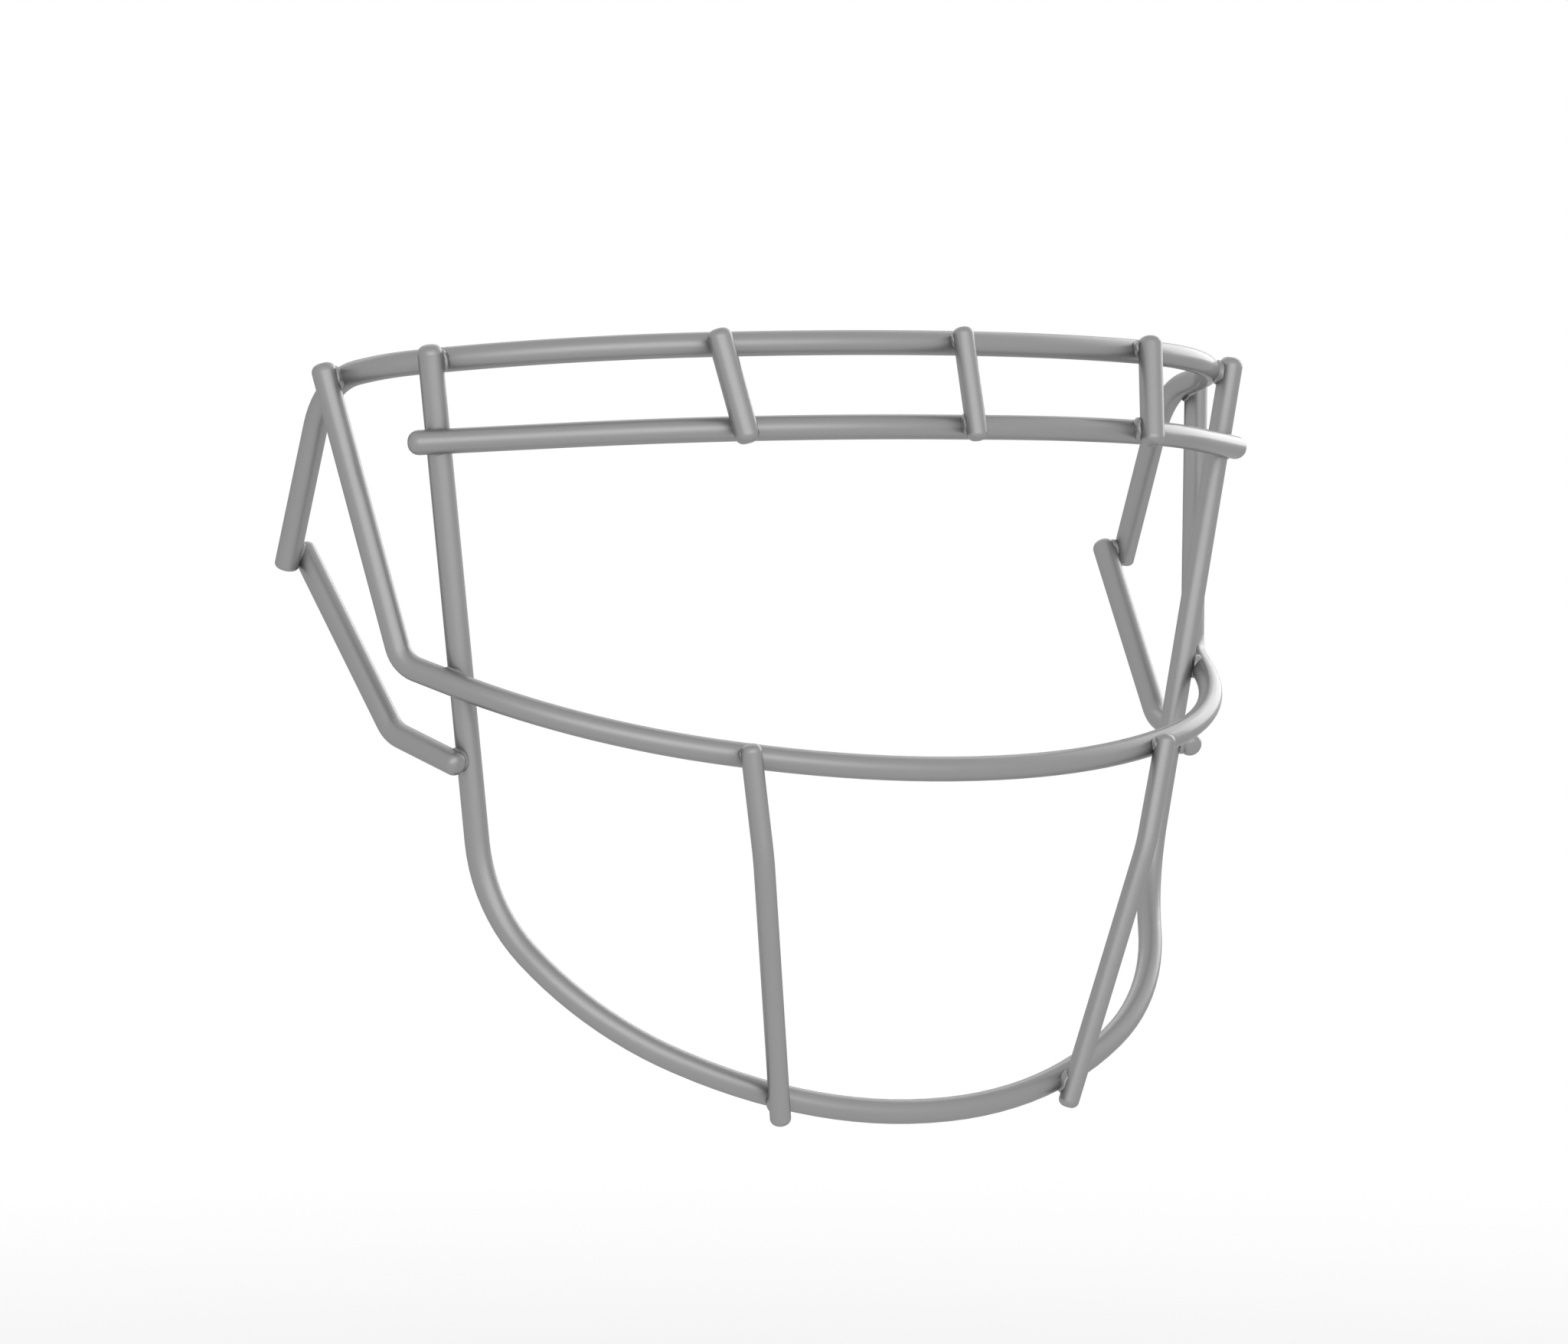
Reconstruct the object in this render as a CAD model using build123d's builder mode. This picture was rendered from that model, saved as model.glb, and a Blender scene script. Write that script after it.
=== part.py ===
from build123d import *
import os
from math import radians, tan

# A football helmet facemask: eleven bent steel bars, welded together where they cross.
# Millimetres. The origin is the middle of the brow rail, on the centre line of the bar.
# Z points up and the face looks along -Y. Left and right are the wearer's; left is +X.
# Half paths are written for the left side, from the mid-plane outwards: "side" is the
# distance from the mid-plane, "back" the distance behind the brow and "drop" below it.

# Bar stock
bar_diameter = 5.5
light_bar_diameter = 4.7

# Welds: how far one bar is pressed into the other, and the flash squeezed out round it.
# The flash reaches past the sides of the outer bar and rises past those of the inner one,
# further at a deep weld and only as far as the end of the outer bar lets it. It lies over
# the face of the weld and under the outer bar.
weld_sink = 0.3
second_weld_sink = 2.4
flash_reach = 0.45
flash_rise = 0.55
flash_squeeze_share = 0.1
flash_over = 1.7
flash_under = 0.55
flash_end_share = 0.9
flash_rim_radius = 0.3

# How much of a straight run a bend may take, before its corner and after it
run_before_share = 0.98
run_after_share = 0.9

# Rounding of the bar ends, as shares of the bar's radius
end_round_share = 0.7
hanger_end_round_share = 0.4
second_end_round_share = 0.9

# Brow rail, with the hangers that turn down at its two ends. The insets are measured
# inwards from the hangers.
hanger_side = 117.5
hanger_top_back = 72.9
hanger_top_drop = 8.3
hanger_rake = 17.0
hanger_fall = 41.6
brow_flat_side = 30.4
brow_cheek_inset = 27.0
brow_cheek_back = 19.8
brow_cheek_drop = 1.9
brow_temple_inset = 3.8
brow_temple_back = 52.8
brow_temple_drop = 5.3
brow_front_radius = 184.0
brow_cheek_radius = 98.0
brow_temple_radius = 32.0
hanger_bend_radius = 18.5

# U-bar, which falls from the brow rail and runs round under the chin. Its top and foot
# are set in from the hangers, its jaw and foot lie above the chin.
u_bar_top_inset = 10.8
u_bar_top_overhang = 3.9
chin_flat_side = 32.5
chin_back = 8.2
chin_drop = 170.8
jaw_inset = 39.4
jaw_back = 26.3
jaw_rise = 21.6
u_bar_foot_inset = 25.2
u_bar_foot_back = 47.9
u_bar_foot_rise = 46.6
chin_radius = 112.0
jaw_radius = 66.0
u_bar_foot_radius = 35.5

# Second rail, below the brow rail and outside the U-bar. Its cheek is set in from the
# leg of the U-bar, and its ends fall a little.
second_lead = 4.4
second_drop = 18.6
second_flat_side = 30.6
second_cheek_inset = 36.2
second_cheek_back = 10.7
second_cheek_fall = 1.1
second_weld_fall = 3.0
second_overhang = 6.3
second_front_radius = 137.0
second_cheek_radius = 134.0

# Mouth bar, outside the U-bar, with two legs that rise to the brow rail. Its cheek is
# set in from the leg of the U-bar, and its ends rise from the middle.
mouth_lead = 9.4
mouth_drop = 93.9
mouth_flat_side = 32.3
mouth_cheek_inset = 9.4
mouth_cheek_back = 14.6
mouth_cheek_rise = 9.5
mouth_weld_rise = 20.7
mouth_corner_reach = 11.5
mouth_top_lead = 5.9
mouth_top_overhang = 3.7
mouth_front_radius = 151.0
mouth_cheek_radius = 84.0
mouth_corner_radius = 7.0

# Brow struts, across the two rails
strut_top_side = 57.5
strut_foot_side = 54.3
strut_top_overhang = 2.4
strut_foot_overhang = 4.2

# Chin struts, from the mouth bar to the chin, with a kink below the mouth bar
chin_strut_top_side = 55.2
chin_strut_foot_side = 39.1
chin_strut_kink_side = 52.6
chin_strut_kink_lead = 3.0
chin_strut_kink_fall = 18.6
chin_strut_top_overhang = 2.2
chin_strut_foot_overhang = 5.0
chin_strut_bend_radius = 40.0

# Side loops, from the inside of the hangers to the outside of the U-bar, below the
# weld of the mouth bar
loop_weld_rise = 3.0
loop_top_overhang = 2.3
loop_foot_fall = 17.8
loop_foot_overhang = 2.9
loop_corner_side = 4.1
loop_corner_back = 17.5
loop_corner_rise = 6.0
loop_bend_radius = 8.0

FRONT = Vector(0, -1, 0)
LEFT = Vector(1, 0, 0)
nodes = {}


def place(side, back, drop):
    """A point of the left half."""
    return Vector(side, back, -drop)


def beyond(start, end, overhang):
    """The point that lies past the end of a run."""
    return end + (end - start).normalized() * overhang


def fitted_radii(points, radii):
    """The bend radii, each no larger than the straight runs beside its corner allow."""
    fitted = []
    used = 0
    for before, corner, after, radius in zip(points, points[1:], points[2:], radii):
        slope = tan(radians((corner - before).get_angle(after - corner) / 2))
        room_before = run_before_share * ((corner - before).length - used)
        room_after = run_after_share * (after - corner).length
        used = min(radius * slope, room_before, room_after)
        fitted.append(used / slope)
    return fitted


def centre_line(points, radii=()):
    """The centre line of a bar: straight runs joined by bends."""
    with BuildLine() as path:
        if radii:
            FilletPolyline(*points, radius=fitted_radii(points, radii))
        else:
            Polyline(*points)
    return path.wire()


def full_centre_line(points, radii):
    """The centre line of a bar that crosses the mid-plane, from its left half."""
    half = fitted_radii(points, radii)
    right = [Vector(-point.X, point.Y, point.Z) for point in points[:0:-1]]
    with BuildLine() as path:
        FilletPolyline(*right, *points[1:], radius=half[::-1] + half)
    return path.wire()


def station(line, plane):
    """The point and direction of a centre line where it passes through a plane."""
    point = (line & plane).vertices().sort_by(Axis.X)[-1].center()
    return point, line.tangent_at(point)


def seat(inner_point, inner_run, outer_run, outward, diameters, sink=weld_sink):
    """Where an outer bar is welded on an inner one.

    Gives the centre-line point of the outer bar and the plane of the weld, which faces
    from the inner bar to the outer one.
    """
    inner_diameter, outer_diameter = diameters
    normal = inner_run.cross(outer_run).normalized()
    if normal.dot(outward) < 0:
        normal = -normal
    outer_point = inner_point + normal * ((inner_diameter + outer_diameter) / 2 - sink)
    weld_point = inner_point + normal * (inner_diameter - sink) / 2
    return outer_point, Plane(weld_point, x_dir=inner_run, z_dir=normal)


def bar_along(line, diameter, round_share, inner_bars=()):
    """A round bar with rounded ends, notched where it is pressed onto the bars inside it."""
    with BuildPart() as bar:
        with BuildSketch(line ^ 0):
            Circle(diameter / 2)
        sweep(path=line)
        ends = bar.faces().filter_by(GeomType.PLANE)
        fillet(ends.edges(), radius=round_share * diameter / 2)
        for inner in inner_bars:
            add(inner, mode=Mode.SUBTRACT)
    return bar.part


def flash(weld, diameters, overhang, bars, sink=weld_sink):
    """The collar of weld metal between two crossing bars, near the end of the outer one."""
    inner_diameter, outer_diameter = diameters
    squeeze = flash_squeeze_share * sink
    along_inner = outer_diameter / 2 + flash_reach + squeeze
    along_outer = min(inner_diameter / 2 + flash_rise + squeeze, flash_end_share * overhang)
    underside = flash_under + sink / 2
    with BuildPart() as collar:
        with BuildSketch(weld.offset(-underside)):
            Ellipse(along_inner, along_outer)
        extrude(amount=underside + flash_over)
        rims = collar.faces().filter_by(Axis(weld.origin, weld.z_dir))
        fillet(rims.edges(), radius=flash_rim_radius)
        for bar in bars:
            add(bar, mode=Mode.SUBTRACT)
    return collar.part


def mirrored(part):
    """The same piece on the wearer's right."""
    with BuildPart() as other:
        mirror(part, about=Plane.YZ)
    return other.part


def keep(name, part):
    nodes[name] = part
    return part


def keep_pair(name, part):
    nodes[name + "_left"] = part
    nodes[name + "_right"] = mirrored(part)


main_pair = (bar_diameter, bar_diameter)
light_pair = (bar_diameter, light_bar_diameter)

# Brow rail
brow_path = [
    place(0, 0, 0),
    place(brow_flat_side, 0, 0),
    place(hanger_side - brow_cheek_inset, brow_cheek_back, brow_cheek_drop),
    place(hanger_side - brow_temple_inset, brow_temple_back, brow_temple_drop),
    place(hanger_side, hanger_top_back, hanger_top_drop),
    place(hanger_side, hanger_top_back + hanger_rake, hanger_top_drop + hanger_fall),
]
brow_radii = [brow_front_radius, brow_cheek_radius, brow_temple_radius, hanger_bend_radius]
brow_line = full_centre_line(brow_path, brow_radii)
brow_rail = keep("brow_rail", bar_along(brow_line, bar_diameter, hanger_end_round_share))

# U-bar
u_bar_foot = place(hanger_side - u_bar_foot_inset, u_bar_foot_back, chin_drop - u_bar_foot_rise)
brow_point, brow_run = station(brow_line, Plane.YZ.offset(hanger_side - u_bar_top_inset))
u_bar_seat, weld_u_bar_brow = seat(brow_point, brow_run, brow_point - u_bar_foot, FRONT, main_pair)
u_bar_path = [
    place(0, chin_back, chin_drop),
    place(chin_flat_side, chin_back, chin_drop),
    place(hanger_side - jaw_inset, jaw_back, chin_drop - jaw_rise),
    u_bar_foot,
    beyond(u_bar_foot, u_bar_seat, u_bar_top_overhang),
]
u_bar_line = full_centre_line(u_bar_path, [chin_radius, jaw_radius, u_bar_foot_radius])
u_bar = keep("u_bar", bar_along(u_bar_line, bar_diameter, end_round_share, [brow_rail]))

# Second rail
leg_point, leg_run = station(u_bar_line, Plane.XY.offset(-second_drop - second_weld_fall))
second_cheek = place(leg_point.X - second_cheek_inset, second_cheek_back, second_drop + second_cheek_fall)
second_seat, weld_second_u_bar = seat(
    leg_point, leg_run, leg_point - second_cheek, FRONT, main_pair, second_weld_sink
)
second_path = [
    place(0, -second_lead, second_drop),
    place(second_flat_side, -second_lead, second_drop),
    second_cheek,
    beyond(second_cheek, second_seat, second_overhang),
]
second_line = full_centre_line(second_path, [second_front_radius, second_cheek_radius])
second_rail = keep("second_rail", bar_along(second_line, bar_diameter, second_end_round_share, [u_bar]))

# Mouth bar
leg_point, leg_run = station(u_bar_line, Plane.XY.offset(mouth_weld_rise - mouth_drop))
mouth_cheek = place(leg_point.X - mouth_cheek_inset, mouth_cheek_back, mouth_drop - mouth_cheek_rise)
mouth_seat, weld_mouth_u_bar = seat(leg_point, leg_run, leg_point - mouth_cheek, LEFT, main_pair)
mouth_corner = beyond(mouth_cheek, mouth_seat, mouth_corner_reach)
brow_point, brow_run = station(brow_line, Plane.XZ.offset(mouth_top_lead - hanger_top_back))
mouth_top_seat, weld_mouth_brow = seat(brow_point, brow_run, brow_point - mouth_corner, LEFT, main_pair)
mouth_path = [
    place(0, -mouth_lead, mouth_drop),
    place(mouth_flat_side, -mouth_lead, mouth_drop),
    mouth_cheek,
    mouth_corner,
    beyond(mouth_corner, mouth_top_seat, mouth_top_overhang),
]
mouth_line = full_centre_line(mouth_path, [mouth_front_radius, mouth_cheek_radius, mouth_corner_radius])
mouth_bar = keep("mouth_bar", bar_along(mouth_line, bar_diameter, end_round_share, [brow_rail, u_bar]))

# Brow struts
strut_welds = {}
for name, top_side, foot_side, diameters in [
    ("left", strut_top_side, strut_foot_side, main_pair),
    ("centre", 0, 0, light_pair),
]:
    top_point, top_run = station(brow_line, Plane.YZ.offset(top_side))
    foot_point, foot_run = station(second_line, Plane.YZ.offset(foot_side))
    top_seat, top_weld = seat(top_point, top_run, top_point - foot_point, FRONT, diameters)
    foot_seat, foot_weld = seat(foot_point, foot_run, top_point - foot_point, FRONT, diameters)
    strut_line = centre_line([
        beyond(foot_seat, top_seat, strut_top_overhang),
        beyond(top_seat, foot_seat, strut_foot_overhang),
    ])
    nodes["brow_strut_" + name] = bar_along(
        strut_line, diameters[1], end_round_share, [brow_rail, second_rail]
    )
    strut_welds[name] = (top_weld, foot_weld, diameters)
nodes["brow_strut_right"] = mirrored(nodes["brow_strut_left"])

# Chin struts
kink = place(chin_strut_kink_side, -chin_strut_kink_lead, mouth_drop + chin_strut_kink_fall)
mouth_point, mouth_run = station(mouth_line, Plane.YZ.offset(chin_strut_top_side))
chin_point, chin_run = station(u_bar_line, Plane.YZ.offset(chin_strut_foot_side))
top_seat, weld_chin_strut_top = seat(mouth_point, mouth_run, mouth_point - kink, FRONT, light_pair)
foot_seat, weld_chin_strut_foot = seat(chin_point, chin_run, chin_point - kink, FRONT, light_pair)
chin_strut_line = centre_line(
    [
        beyond(kink, top_seat, chin_strut_top_overhang),
        kink,
        beyond(kink, foot_seat, chin_strut_foot_overhang),
    ],
    [chin_strut_bend_radius],
)
chin_strut = bar_along(chin_strut_line, light_bar_diameter, end_round_share, [mouth_bar, u_bar])
keep_pair("chin_strut", chin_strut)

# Side loops
hanger_run = (brow_path[-1] - brow_path[-2]).normalized()
hanger_point = brow_path[-1] - hanger_run * loop_weld_rise
leg_point, leg_run = station(u_bar_line, Plane.XY.offset(mouth_weld_rise - mouth_drop - loop_foot_fall))
corner_offset = Vector(loop_corner_side, loop_corner_back, loop_corner_rise)
foot_seat, weld_loop_foot = seat(leg_point, leg_run, corner_offset, LEFT, main_pair)
loop_corner = foot_seat + corner_offset
top_seat, weld_loop_top = seat(hanger_point, hanger_run, hanger_point - loop_corner, -LEFT, main_pair)
loop_line = centre_line(
    [
        beyond(loop_corner, top_seat, loop_top_overhang),
        loop_corner,
        beyond(loop_corner, foot_seat, loop_foot_overhang),
    ],
    [loop_bend_radius],
)
side_loop = bar_along(loop_line, bar_diameter, end_round_share, [brow_rail, u_bar])
keep_pair("side_loop", side_loop)

# Weld flash
for name, weld, diameters, overhang, bars in [
    ("u_bar_brow", weld_u_bar_brow, main_pair, u_bar_top_overhang, [brow_rail, u_bar]),
    ("mouth_brow", weld_mouth_brow, main_pair, mouth_top_overhang, [brow_rail, mouth_bar]),
    ("mouth_u_bar", weld_mouth_u_bar, main_pair, mouth_corner_reach, [u_bar, mouth_bar]),
    ("chin_strut_top", weld_chin_strut_top, light_pair, chin_strut_top_overhang, [mouth_bar, chin_strut]),
    ("chin_strut_foot", weld_chin_strut_foot, light_pair, chin_strut_foot_overhang, [u_bar, chin_strut]),
    ("loop_top", weld_loop_top, main_pair, loop_top_overhang, [brow_rail, side_loop]),
    ("loop_foot", weld_loop_foot, main_pair, loop_foot_overhang, [u_bar, side_loop]),
]:
    keep_pair("weld_" + name, flash(weld, diameters, overhang, bars))
deep_weld = flash(weld_second_u_bar, main_pair, second_overhang, [u_bar, second_rail], second_weld_sink)
keep_pair("weld_second_u_bar", deep_weld)
for name, (top_weld, foot_weld, diameters) in strut_welds.items():
    strut = nodes["brow_strut_" + name]
    for end, weld, overhang, rail in [
        ("top", top_weld, strut_top_overhang, brow_rail),
        ("foot", foot_weld, strut_foot_overhang, second_rail),
    ]:
        nodes["weld_strut_" + end + "_" + name] = flash(weld, diameters, overhang, [rail, strut])
for end in ["top", "foot"]:
    nodes["weld_strut_" + end + "_right"] = mirrored(nodes["weld_strut_" + end + "_left"])

os.makedirs("parts", exist_ok=True)
for name, part in nodes.items():
    part.label = name
    export_step(part, "parts/" + name + ".step")
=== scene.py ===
import math

import bmesh
import bpy
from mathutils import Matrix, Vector, noise


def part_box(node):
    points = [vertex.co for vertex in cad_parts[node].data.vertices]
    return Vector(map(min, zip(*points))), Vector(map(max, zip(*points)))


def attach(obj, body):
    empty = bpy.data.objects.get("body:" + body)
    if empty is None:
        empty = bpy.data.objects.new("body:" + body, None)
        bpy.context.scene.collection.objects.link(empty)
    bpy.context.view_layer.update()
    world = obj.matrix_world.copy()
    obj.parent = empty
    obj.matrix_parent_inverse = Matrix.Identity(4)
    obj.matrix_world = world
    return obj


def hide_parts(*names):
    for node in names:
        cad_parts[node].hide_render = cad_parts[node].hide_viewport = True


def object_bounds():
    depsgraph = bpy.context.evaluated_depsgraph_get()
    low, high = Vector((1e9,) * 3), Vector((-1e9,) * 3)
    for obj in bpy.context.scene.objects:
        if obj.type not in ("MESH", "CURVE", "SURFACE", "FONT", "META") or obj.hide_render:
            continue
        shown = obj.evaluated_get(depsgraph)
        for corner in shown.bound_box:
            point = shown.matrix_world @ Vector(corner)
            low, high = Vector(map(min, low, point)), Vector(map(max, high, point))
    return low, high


# A football helmet facemask of welded steel bars in a grey dipped coating.
# Metres, in the frame of the CAD model: the origin is the middle of the brow rail,
# +X is the wearer's left, +Y goes back towards the helmet and +Z is up.

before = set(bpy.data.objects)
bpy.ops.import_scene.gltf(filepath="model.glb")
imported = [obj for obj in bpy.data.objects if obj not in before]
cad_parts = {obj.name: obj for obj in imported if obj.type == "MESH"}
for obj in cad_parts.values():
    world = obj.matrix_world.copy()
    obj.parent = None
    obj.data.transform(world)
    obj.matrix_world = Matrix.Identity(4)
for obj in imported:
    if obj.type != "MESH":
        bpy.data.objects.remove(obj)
cad_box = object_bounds()

# Camera, as it stood for the photograph; the lens and the sensor are in millimetres
CAMERA_PLACE = (-0.8919, -1.2113, -0.0354)
CAMERA_AZIMUTH = -34.955
CAMERA_ELEVATION = 1.424
CAMERA_LENS = 155.81
CAMERA_SENSOR = 36.0
CAMERA_REACH = (0.05, 60.0)

# Studio
WHITE = (1.0, 1.0, 1.0, 1.0)
WHITE_LEVEL = 1.0
AMBIENT_LEVEL = 0.50
FLOOR_GAP = 0.07
FLOOR_RADIUS = 12.0
FLOOR_SIDES = 96
FLOOR_SHADOW_RADIUS = 0.2
FLOOR_FADE = 0.4
FLOOR_TONE = 0.96
FLOOR_PALENESS = 0.6

# Lamps: azimuth 0 is in front of the facemask and 90 is on the wearer's right, in degrees,
# and a lamp with a level of 1 looks as bright as white
LAMPS = {
    "front_softbox": dict(azimuth=23, elevation=7, distance=1.7, size=(2.7, 1.6), level=1.08),
    "back_softbox": dict(azimuth=216, elevation=42, distance=2.0, size=(3.0, 0.8), level=1.35),
    "side_softbox": dict(azimuth=-108, elevation=19, distance=1.8, size=(1.3, 0.9), level=3.1),
}

# Weld beads: drawn in from the collars, rounded, and a little wavy
BEAD_STEP = 0.0002
BEAD_ROUNDING = 13
BEAD_ROUNDING_STRENGTH = 0.5
BEAD_SHARE = 0.89
BEAD_DRIFT = 0.0006
BEAD_WAVE = 0.0001
BEAD_WAVE_SIZE = 0.0016
DRIFTING_WELDS = {
    "weld_strut_top": "weld_strut_top_centre",
    "weld_strut_foot": "weld_strut_foot_centre",
    "weld_u_bar_brow": "weld_strut_top_centre",
}

# Coating: a dull metallic grey under a thin gloss
COAT_TONE = 0.30
WELD_TONE = 0.29
LOWEST_SHADE = 0.92
GRAIN_IN_SHADE = 0.10
CLOUD_IN_SHADE = 0.06
LOWEST_ROUGHNESS = 0.42
CLOUD_IN_ROUGHNESS = 0.06
GRAIN_SIZE = 0.00018
PEEL_SIZE = 0.0011
CLOUD_SIZE = 0.018
GRAIN_IN_RELIEF = 0.15
RELIEF_HEIGHT = 0.000006
COAT_METALLIC = 0.9
COAT_EDGE_TINT = (0.5, 0.5, 0.5, 1.0)
COAT_IOR = 1.5
GLOSS_WEIGHT = 0.25
GLOSS_ROUGHNESS = 0.08
GLOSS_IOR = 1.4


class Socket:
    """A shader value that can be used in Python sums; each sum adds its Math node."""

    def __init__(self, shader, output):
        self.shader = shader
        self.output = output

    def _math(self, operation, *values):
        return self.shader.node("ShaderNodeMath", {"operation": operation}, *values)

    def __add__(self, other):
        return self._math("ADD", self, other)

    def __sub__(self, other):
        return self._math("SUBTRACT", self, other)

    def __rsub__(self, other):
        return self._math("SUBTRACT", other, self)

    def __mul__(self, other):
        return self._math("MULTIPLY", self, other)

    def __truediv__(self, other):
        return self._math("DIVIDE", self, other)

    def __rtruediv__(self, other):
        return self._math("DIVIDE", other, self)

    __radd__ = __add__
    __rmul__ = __mul__

    def max(self, other):
        return self._math("MAXIMUM", self, other)

    def clamped(self):
        """The value, held between 0 and 1."""
        return self.shader.node("ShaderNodeMath", {"operation": "ADD", "use_clamp": True}, self, 0.0)


class Shader:
    """The node tree of one material or of the world."""

    def __init__(self, owner):
        owner.use_nodes = True
        self.tree = owner.node_tree
        self.tree.nodes.clear()

    def node(self, kind, settings=None, *values, output=0, **named):
        """Adds a node, with its settings and the values or links of its sockets."""
        node = self.tree.nodes.new(kind)
        for name, value in (settings or {}).items():
            setattr(node, name, value)
        for key, value in [*enumerate(values), *named.items()]:
            socket = node.inputs[key if isinstance(key, int) else key.replace("_", " ")]
            if isinstance(value, Socket):
                self.tree.links.new(value.output, socket)
            else:
                socket.default_value = value
        return Socket(self, node.outputs[output]) if node.outputs else None

    def place(self):
        """The place on the object, in metres."""
        return self.node("ShaderNodeTexCoord", output="Object")

    def noise(self, size, detail):
        """Noise from 0 to 1 with features of about this size, in metres."""
        return self.node(
            "ShaderNodeTexNoise", Vector=self.place(), Scale=1.0 / size, Detail=detail, Roughness=0.5,
        )

    def grey(self, tone):
        """A neutral colour from a number that changes over the surface."""
        return self.node("ShaderNodeCombineColor", None, tone, tone, tone)


def dipped_coating(name, tone):
    """Grey coating: a dull body with fine grain under a smooth, slightly uneven gloss."""
    material = bpy.data.materials.new(name)
    coat = Shader(material)
    grain = coat.noise(GRAIN_SIZE, detail=1.0)
    peel = coat.noise(PEEL_SIZE, detail=2.0)
    cloud = coat.noise(CLOUD_SIZE, detail=3.0)
    shade = tone * (LOWEST_SHADE + GRAIN_IN_SHADE * grain + CLOUD_IN_SHADE * cloud)
    roughness = LOWEST_ROUGHNESS + CLOUD_IN_ROUGHNESS * cloud
    relief = coat.node(
        "ShaderNodeBump",
        Strength=1.0, Distance=RELIEF_HEIGHT, Height=peel + GRAIN_IN_RELIEF * grain,
    )
    surface = coat.node(
        "ShaderNodeBsdfPrincipled",
        Base_Color=coat.grey(shade), Metallic=COAT_METALLIC, Roughness=roughness,
        Specular_Tint=COAT_EDGE_TINT, IOR=COAT_IOR, Normal=relief,
        Coat_Weight=GLOSS_WEIGHT, Coat_Roughness=GLOSS_ROUGHNESS, Coat_IOR=GLOSS_IOR,
    )
    coat.node("ShaderNodeOutputMaterial", Surface=surface)
    return material


def weld_middle(name):
    low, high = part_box(name)
    return (low + high) / 2


def bead_drift(name):
    """The welds of the outer struts and of the U-bar are squeezed out towards the centre strut."""
    level, side = name.rsplit("_", 1)
    if level not in DRIFTING_WELDS or side == "centre":
        return Vector()
    way = weld_middle(DRIFTING_WELDS[level]) - weld_middle(name)
    return way.normalized() * BEAD_DRIFT


def filled_collar(collar):
    """The collar of a weld as one closed lump, drawn in towards its middle."""
    middle = weld_middle(collar.name)
    drift = bead_drift(collar.name)
    lump = bmesh.new()
    for vertex in collar.data.vertices:
        lump.verts.new(middle + drift + (vertex.co - middle) * BEAD_SHARE)
    hull = bmesh.ops.convex_hull(lump, input=lump.verts)
    inside = [part for part in hull["geom_interior"] if isinstance(part, bmesh.types.BMVert)]
    bmesh.ops.delete(lump, geom=inside, context="VERTS")
    mesh = bpy.data.meshes.new("lump")
    lump.to_mesh(mesh)
    lump.free()
    return mesh


def weld_bead(collar, coat):
    """The smooth, slightly wavy bead that the coating leaves round a weld."""
    name = "bead_" + collar.name.removeprefix("weld_")
    bead = bpy.data.objects.new(name, filled_collar(collar))
    bpy.context.scene.collection.objects.link(bead)
    cells = bead.modifiers.new("cells", "REMESH")
    cells.mode = "VOXEL"
    cells.voxel_size = BEAD_STEP
    rounding = bead.modifiers.new("rounding", "SMOOTH")
    rounding.factor = BEAD_ROUNDING_STRENGTH
    rounding.iterations = BEAD_ROUNDING
    shaped = bead.evaluated_get(bpy.context.evaluated_depsgraph_get())
    bead.data = bpy.data.meshes.new_from_object(shaped)
    bead.modifiers.clear()
    for vertex in bead.data.vertices:
        wave = noise.noise(vertex.co / BEAD_WAVE_SIZE)
        vertex.co += vertex.normal * wave * BEAD_WAVE
    dip(bead, coat)
    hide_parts(collar.name)
    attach(bead, "root")


def dip(piece, coat):
    piece.data.materials.clear()
    piece.data.materials.append(coat)
    piece.data.shade_smooth()


def coat_bars_and_welds():
    bar_coat = dipped_coating("bar_coat", COAT_TONE)
    weld_coat = dipped_coating("weld_coat", WELD_TONE)
    for name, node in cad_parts.items():
        if name.startswith("weld_"):
            weld_bead(node, weld_coat)
        else:
            dip(node, bar_coat)


def ray(shader, kind):
    """1 where a ray of this kind looks and 0 for other rays."""
    return shader.node("ShaderNodeLightPath", output=f"Is {kind} Ray")


def mirrored(shader):
    """1 where metal or glass looks, so that it shows the white surround too."""
    return ray(shader, "Glossy").max(ray(shader, "Transmission"))


def pale_surround():
    world = bpy.data.worlds.new("surround")
    bpy.context.scene.world = world
    air = Shader(world)
    seen = ray(air, "Camera").max(mirrored(air))
    level = AMBIENT_LEVEL + (WHITE_LEVEL - AMBIENT_LEVEL) * seen
    light = air.node("ShaderNodeBackground", Color=WHITE, Strength=level)
    air.node("ShaderNodeOutputWorld", Surface=light)


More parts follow.
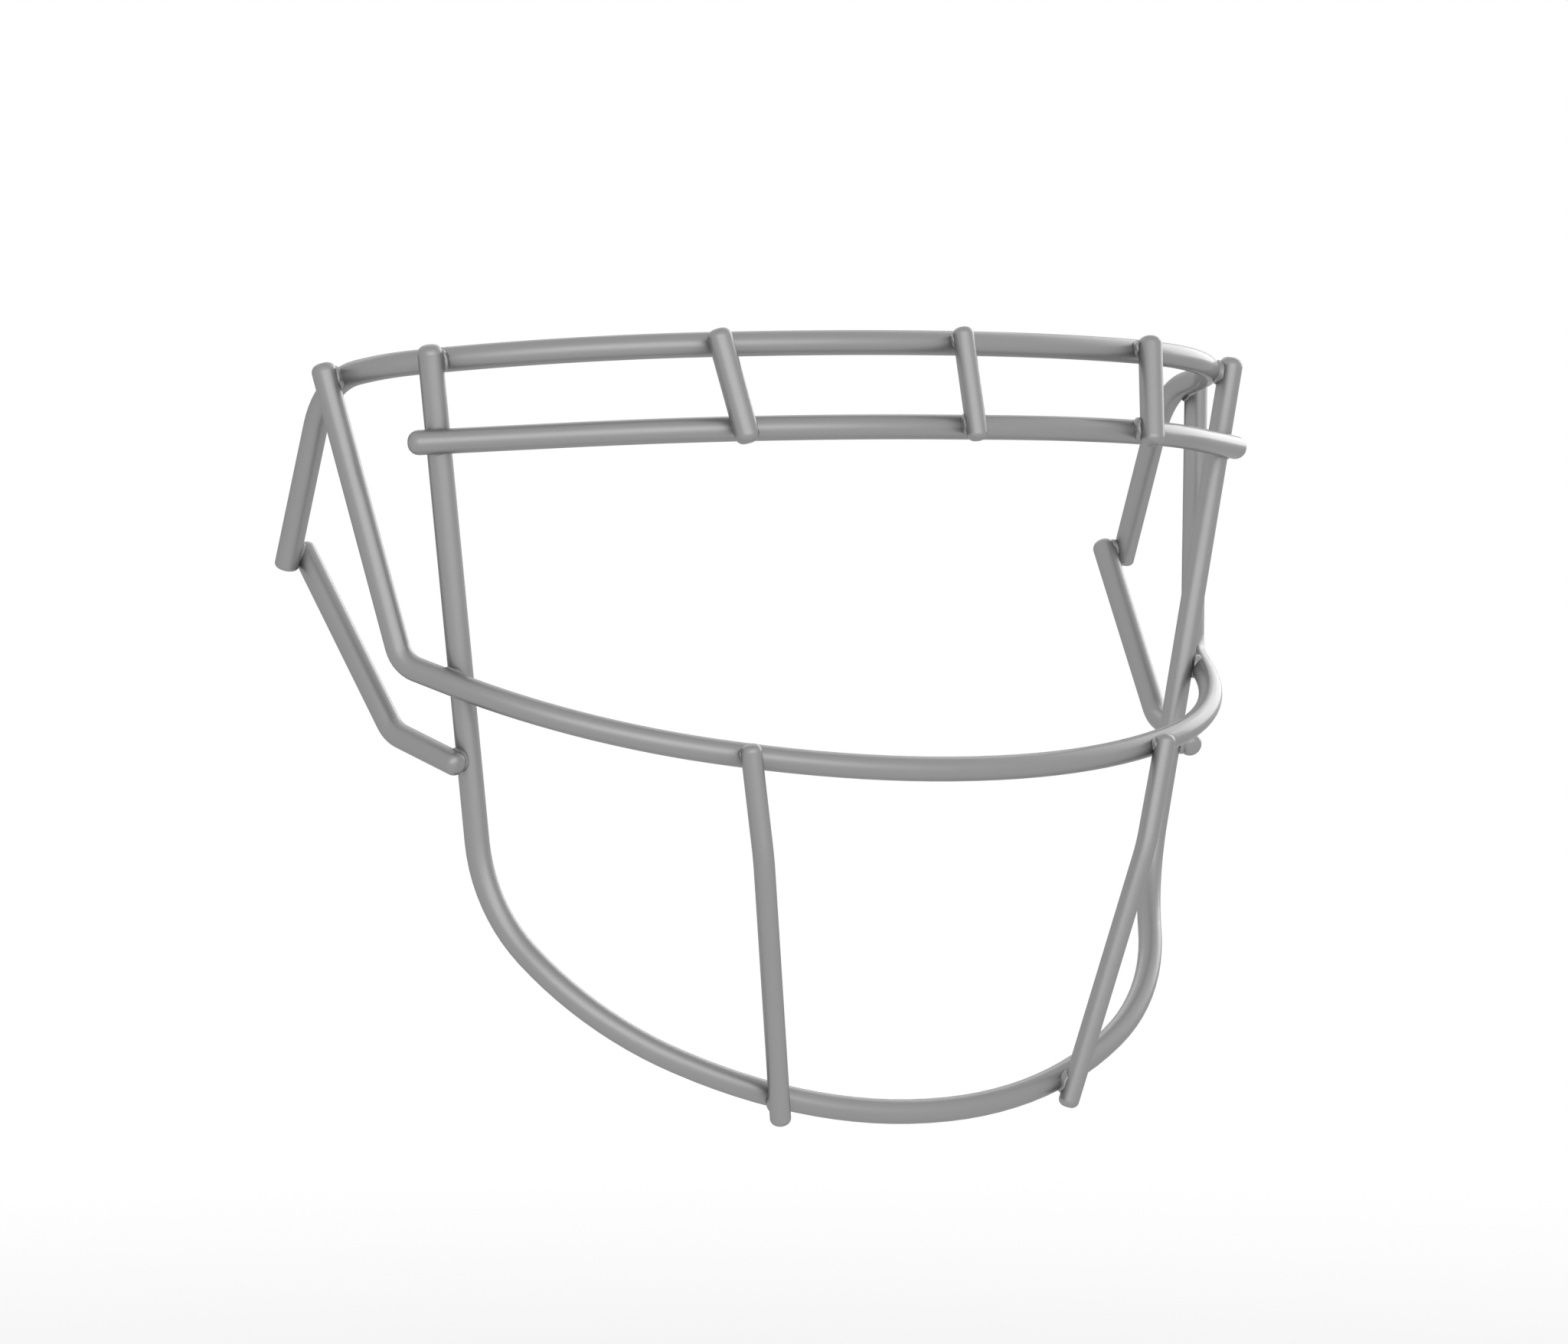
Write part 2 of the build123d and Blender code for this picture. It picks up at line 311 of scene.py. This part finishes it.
def pale_floor():
    """A white disc: it takes the object's soft shadow near the middle and is pure white beyond."""
    low = cad_box[0].z - FLOOR_GAP
    bpy.ops.mesh.primitive_circle_add(
        vertices=FLOOR_SIDES, radius=FLOOR_RADIUS, fill_type="NGON", location=(0, 0, low)
    )
    floor = bpy.context.object
    floor.name = "floor"
    material = bpy.data.materials.new("floor_paint")
    paint = Shader(material)
    matt = paint.node("ShaderNodeBsdfDiffuse", Color=(FLOOR_TONE, FLOOR_TONE, FLOOR_TONE, 1.0))
    white = paint.node("ShaderNodeEmission", Color=WHITE, Strength=WHITE_LEVEL)
    distance = paint.node(
        "ShaderNodeVectorMath", {"operation": "LENGTH"}, paint.place(), output="Value"
    )
    away = ((distance - FLOOR_SHADOW_RADIUS) / FLOOR_FADE).clamped()
    pale = FLOOR_PALENESS + (1.0 - FLOOR_PALENESS) * away
    whiteness = (pale * ray(paint, "Camera")).max(mirrored(paint))
    mixed = paint.node("ShaderNodeMixShader", None, whiteness, matt, white)
    paint.node("ShaderNodeOutputMaterial", Surface=mixed)
    floor.data.materials.append(material)


def aimed(name, data, place, look):
    """Puts a lamp or the camera in its place, looking along a direction."""
    holder = bpy.data.objects.new(name, data)
    holder.location = place
    holder.rotation_mode = "QUATERNION"
    holder.rotation_quaternion = look.to_track_quat("-Z", "Y")
    bpy.context.scene.collection.objects.link(holder)
    return holder


def softbox(name, azimuth, elevation, distance, size, level):
    """A rectangular lamp aimed at the facemask."""
    turn, rise = math.radians(azimuth), math.radians(elevation)
    aim = (cad_box[0] + cad_box[1]) / 2
    away = Vector((
        -math.sin(turn) * math.cos(rise), -math.cos(turn) * math.cos(rise), math.sin(rise),
    ))
    lamp = bpy.data.lights.new(name, "AREA")
    lamp.shape = "RECTANGLE"
    lamp.size, lamp.size_y = size
    lamp.energy = level * math.pi * lamp.size * lamp.size_y
    aimed(name, lamp, aim + away * distance, -away)


def photograph_camera():
    camera = bpy.data.cameras.new("camera")
    camera.sensor_fit = "HORIZONTAL"
    camera.sensor_width = CAMERA_SENSOR
    camera.lens = CAMERA_LENS
    camera.clip_start, camera.clip_end = CAMERA_REACH
    turn, rise = math.radians(CAMERA_AZIMUTH), math.radians(CAMERA_ELEVATION)
    look = Vector((
        -math.sin(turn) * math.cos(rise), math.cos(turn) * math.cos(rise), -math.sin(rise),
    ))
    bpy.context.scene.camera = aimed("camera", camera, CAMERA_PLACE, look)


bpy.context.scene.view_settings.view_transform = "Standard"
photograph_camera()
pale_surround()
pale_floor()
for lamp_name, lamp_setting in LAMPS.items():
    softbox(lamp_name, **lamp_setting)
coat_bars_and_welds()
